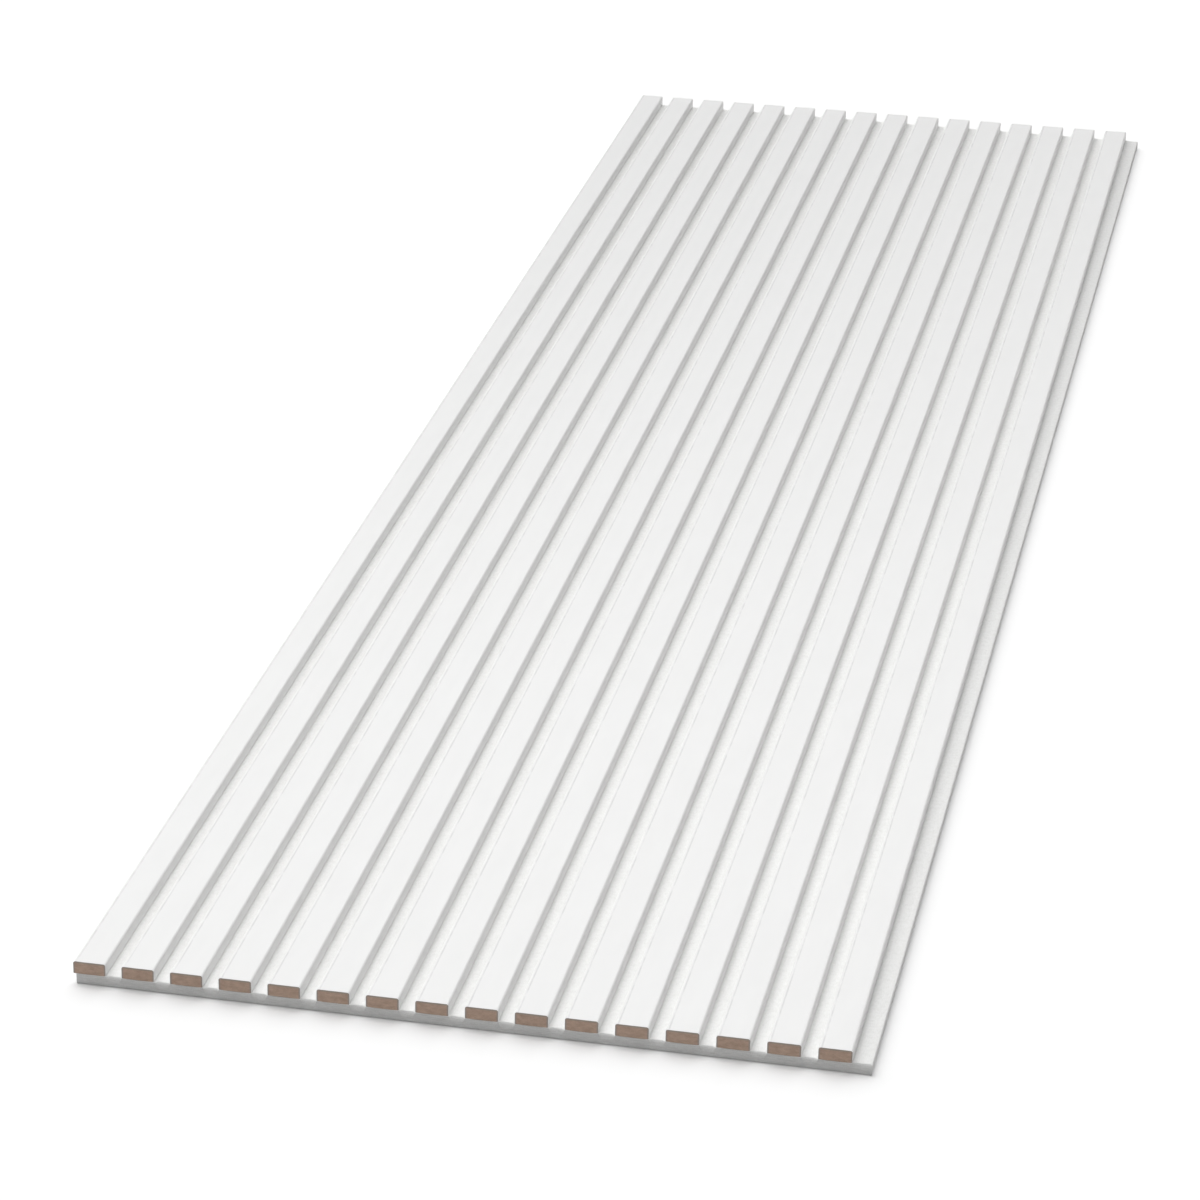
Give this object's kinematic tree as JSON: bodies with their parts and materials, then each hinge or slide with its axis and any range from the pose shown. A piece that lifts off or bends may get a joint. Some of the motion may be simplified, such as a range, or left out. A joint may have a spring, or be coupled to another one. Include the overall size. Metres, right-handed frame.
{
  "type": "acoustic slat panel",
  "caption": "Acoustic wall panel of white foil-wrapped wooden slats, evenly spaced on a felt backing, with a strip of felt left clear on one long edge for the next panel.",
  "frame": {"origin": "middle of the panel's outline, on the back face of the felt", "axes": "+X across the slats towards the clear strip of felt, +Y along the slats, +Z out of the wall towards the slats' faces"},
  "size_m": [0.6424, 2.4, 0.02],
  "materials": {
    "mdf_board": "sawn board, bare at the ends",
    "white_foil": "satin white foil",
    "pet_felt": "white needled felt"
  },
  "bodies": {
    "root": {"felt_backing": "pet_felt", "mdf_slat_01": "mdf_board", "foil_wrap_01": "white_foil", "mdf_slat_02": "mdf_board", "foil_wrap_02": "white_foil", "mdf_slat_03": "mdf_board", "foil_wrap_03": "white_foil", "mdf_slat_04": "mdf_board", "foil_wrap_04": "white_foil", "mdf_slat_05": "mdf_board", "foil_wrap_05": "white_foil", "mdf_slat_06": "mdf_board", "foil_wrap_06": "white_foil", "mdf_slat_07": "mdf_board", "foil_wrap_07": "white_foil", "mdf_slat_08": "mdf_board", "foil_wrap_08": "white_foil", "mdf_slat_09": "mdf_board", "foil_wrap_09": "white_foil", "mdf_slat_10": "mdf_board", "foil_wrap_10": "white_foil", "mdf_slat_11": "mdf_board", "foil_wrap_11": "white_foil", "mdf_slat_12": "mdf_board", "foil_wrap_12": "white_foil", "mdf_slat_13": "mdf_board", "foil_wrap_13": "white_foil", "mdf_slat_14": "mdf_board", "foil_wrap_14": "white_foil", "mdf_slat_15": "mdf_board", "foil_wrap_15": "white_foil", "mdf_slat_16": "mdf_board", "foil_wrap_16": "white_foil"}
  },
  "joints": []
}
